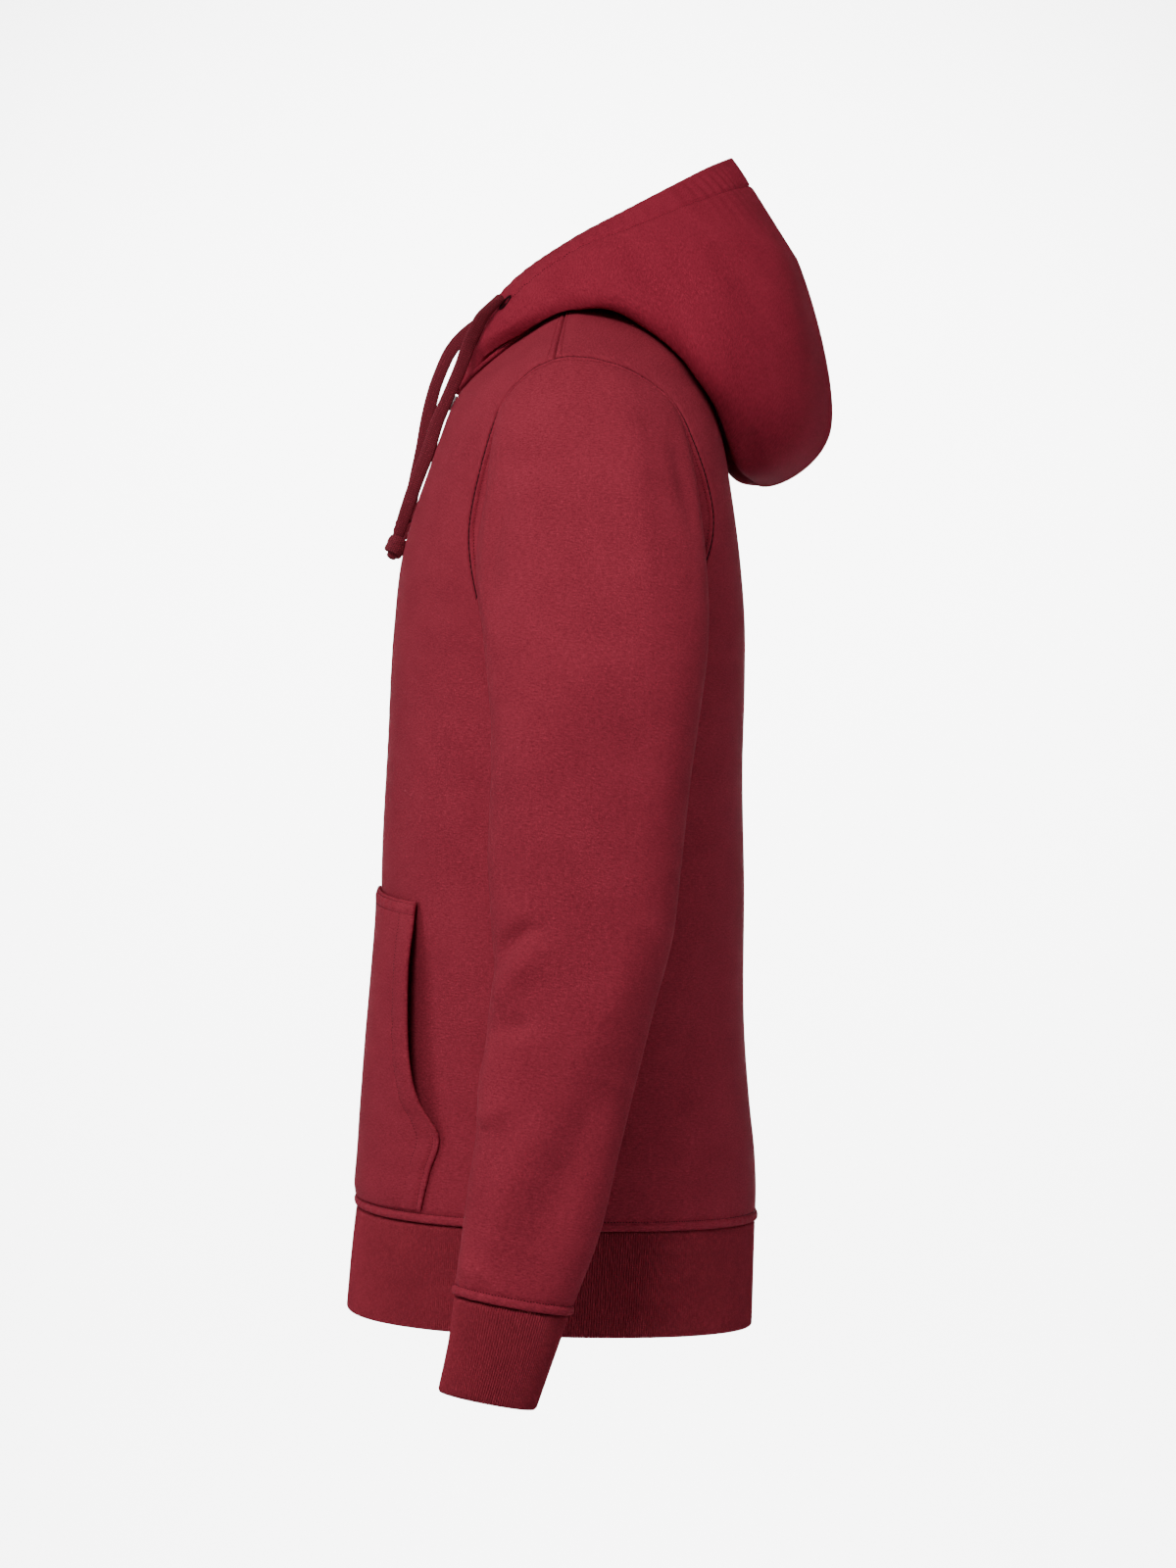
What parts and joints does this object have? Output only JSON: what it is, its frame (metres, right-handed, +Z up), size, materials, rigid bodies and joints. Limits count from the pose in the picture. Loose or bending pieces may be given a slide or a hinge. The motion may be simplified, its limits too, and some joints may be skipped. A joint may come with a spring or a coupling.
{
  "type": "zip up hoodie",
  "caption": "Zip-up hooded sweatshirt in brushed fleece jersey, filled out as worn: hood down, split front pocket, ribbed hem and cuffs, flat drawcord, metal zip slider.",
  "frame": {"origin": "centre of the neck opening, level with the high shoulder points, where a wearer or hanger holds the garment", "axes": "+Z up the body, -Y out of the front, +X to the wearer's left"},
  "size_m": [0.6542, 0.3314, 0.8292],
  "materials": {
    "brushed_fleece_burgundy": "brushed fleece-backed jersey",
    "rib_knit_burgundy": "1x1 rib knit",
    "polyester_tape_burgundy": "woven zip tape",
    "braided_cord_burgundy": "flat braid",
    "plated_zinc": "plated zinc alloy"
  },
  "bodies": {
    "garment": {"front_left": "brushed_fleece_burgundy", "front_right": "brushed_fleece_burgundy", "back": "brushed_fleece_burgundy", "sleeve_left": "brushed_fleece_burgundy", "sleeve_right": "brushed_fleece_burgundy", "hood_left": "brushed_fleece_burgundy", "hood_right": "brushed_fleece_burgundy", "pocket_left": "brushed_fleece_burgundy", "pocket_right": "brushed_fleece_burgundy", "hem_rib": "rib_knit_burgundy", "cuff_left": "rib_knit_burgundy", "cuff_right": "rib_knit_burgundy", "zip_tape_left": "polyester_tape_burgundy", "zip_tape_right": "polyester_tape_burgundy", "slider": "plated_zinc", "drawcord_left": "braided_cord_burgundy", "drawcord_right": "braided_cord_burgundy", "cord_knot_left": "braided_cord_burgundy", "cord_knot_right": "braided_cord_burgundy"},
    "pull": {"pull_tab": "plated_zinc"}
  },
  "joints": [
    {"name": "pull_tab_swing", "type": "hinge", "parent": "garment", "child": "pull", "pos_m": [0, -0.08347, -0.0694], "axis": [-1, 0, 0], "range_deg": [0, 150]}
  ]
}
